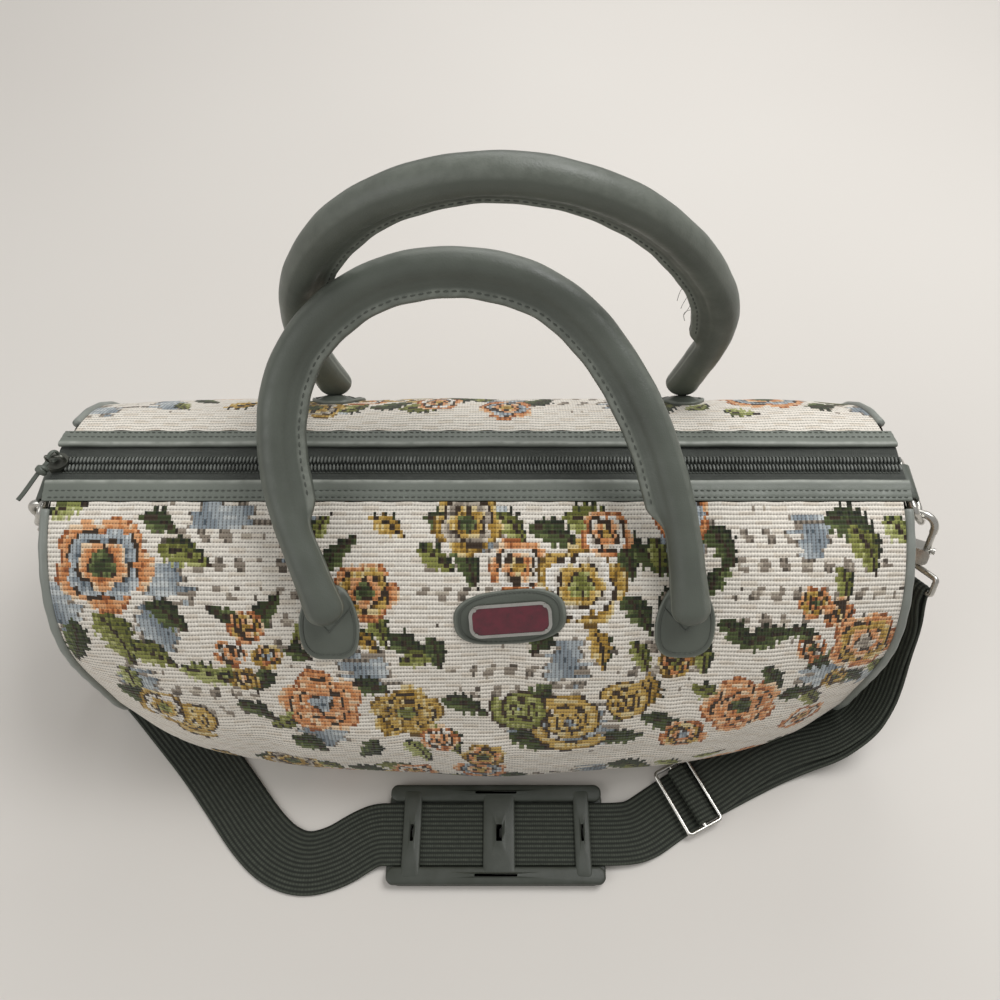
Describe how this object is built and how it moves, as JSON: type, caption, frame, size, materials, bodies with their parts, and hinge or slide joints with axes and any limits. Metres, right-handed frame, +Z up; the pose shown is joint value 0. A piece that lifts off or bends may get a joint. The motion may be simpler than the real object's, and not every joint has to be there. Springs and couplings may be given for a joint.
{
  "type": "carpet bag",
  "caption": "Barrel-shaped tapestry carpet bag with leather trim, long top zip, two rolled handles, oval badge and a detachable webbing shoulder strap with pad.",
  "frame": {"origin": "on the standing surface under the middle of the bag", "axes": "+X along the bag to the wearer's right, -Y towards the front with the badge, +Z up"},
  "size_m": [0.5457, 0.2952, 0.352],
  "materials": {
    "tapestry": "woven ribbed tapestry",
    "leather": "soft semi-matte grain",
    "webbing": "ribbed webbing",
    "zip_tape": "twill tape",
    "coil": "nylon coil",
    "nickel": "polished plating",
    "enamel": "glossy enamel",
    "pad_vinyl": "soft moulded vinyl"
  },
  "bodies": {
    "root": {"front_panel": "tapestry", "back_panel": "tapestry", "end_panel_left": "tapestry", "end_panel_right": "tapestry", "piping_left": "leather", "piping_right": "leather", "trim_front": "leather", "trim_back": "leather", "zip_tape_front": "zip_tape", "zip_tape_back": "zip_tape", "zip_coil_front": "coil", "zip_coil_back": "coil", "handle_tab_front_left": "leather", "handle_tab_front_right": "leather", "handle_tab_back_left": "leather", "handle_tab_back_right": "leather", "badge_patch": "leather", "badge_plate": "nickel", "badge_enamel": "enamel", "badge_rivets": "nickel", "chape_left": "leather", "chape_right": "leather", "strap_webbing": "webbing", "strap_return": "webbing", "strap_adjuster": "nickel", "hook_eye_left": "nickel", "hook_eye_right": "nickel"},
    "slider": {"zip_slider": "nickel"},
    "thong": {"pull_thong": "leather"},
    "front_handle": {"handle_front": "leather"},
    "back_handle": {"handle_back": "leather"},
    "left_ring": {"d_ring_left": "nickel"},
    "right_ring": {"d_ring_right": "nickel"},
    "left_hook": {"hook_left": "nickel"},
    "right_hook": {"hook_right": "nickel"},
    "left_bolt": {"bolt_left": "nickel"},
    "right_bolt": {"bolt_right": "nickel"},
    "pad": {"shoulder_pad": "pad_vinyl"}
  },
  "joints": [
    {"name": "zip_slides", "type": "slide", "parent": "root", "child": "slider", "axis": [1, 0, 0], "range_m": [0, 0.46]},
    {"name": "thong_lifts", "type": "hinge", "parent": "slider", "child": "thong", "pos_m": [-0.237, 0, 0.1871], "axis": [-0.866, 0.5, 0], "range_deg": [0, 120]},
    {"name": "front_handle_swings", "type": "hinge", "parent": "root", "child": "front_handle", "pos_m": [0.018, -0.08135, 0.1617], "axis": [1, 0, 0], "range_deg": [0, 165]},
    {"name": "back_handle_swings", "type": "hinge", "parent": "root", "child": "back_handle", "pos_m": [0.018, 0.07588, 0.162], "axis": [-1, 0, 0], "range_deg": [0, 126]},
    {"name": "left_ring_swings", "type": "hinge", "parent": "root", "child": "left_ring", "pos_m": [-0.2456, -0.006, 0.168], "axis": [0, -1, 0], "range_deg": [-2, 6]},
    {"name": "right_ring_swings", "type": "hinge", "parent": "root", "child": "right_ring", "pos_m": [0.2456, -0.006, 0.168], "axis": [0, 1, 0], "range_deg": [-2, 6]},
    {"name": "left_hook_swivels", "type": "hinge", "parent": "root", "child": "left_hook", "pos_m": [-0.2596, -0.006, 0.14105], "axis": [0, 0, -1], "range_deg": [-20, 20]},
    {"name": "left_bolt_slides", "type": "slide", "parent": "left_hook", "child": "left_bolt", "axis": [0, 0, -1], "range_m": [0, 0.006], "stiffness_N_per_m": 250},
    {"name": "right_hook_swivels", "type": "hinge", "parent": "root", "child": "right_hook", "pos_m": [0.2571, -0.02191, 0.14892], "axis": [-0.06, -0.4303, -0.9007], "range_deg": [-20, 20]},
    {"name": "right_bolt_slides", "type": "slide", "parent": "right_hook", "child": "right_bolt", "axis": [-0.06, -0.4303, -0.9007], "range_m": [0, 0.006], "stiffness_N_per_m": 250},
    {"name": "pad_slides", "type": "slide", "parent": "root", "child": "pad", "axis": [1, 0, 0], "range_m": [-0.003, 0.012]}
  ]
}
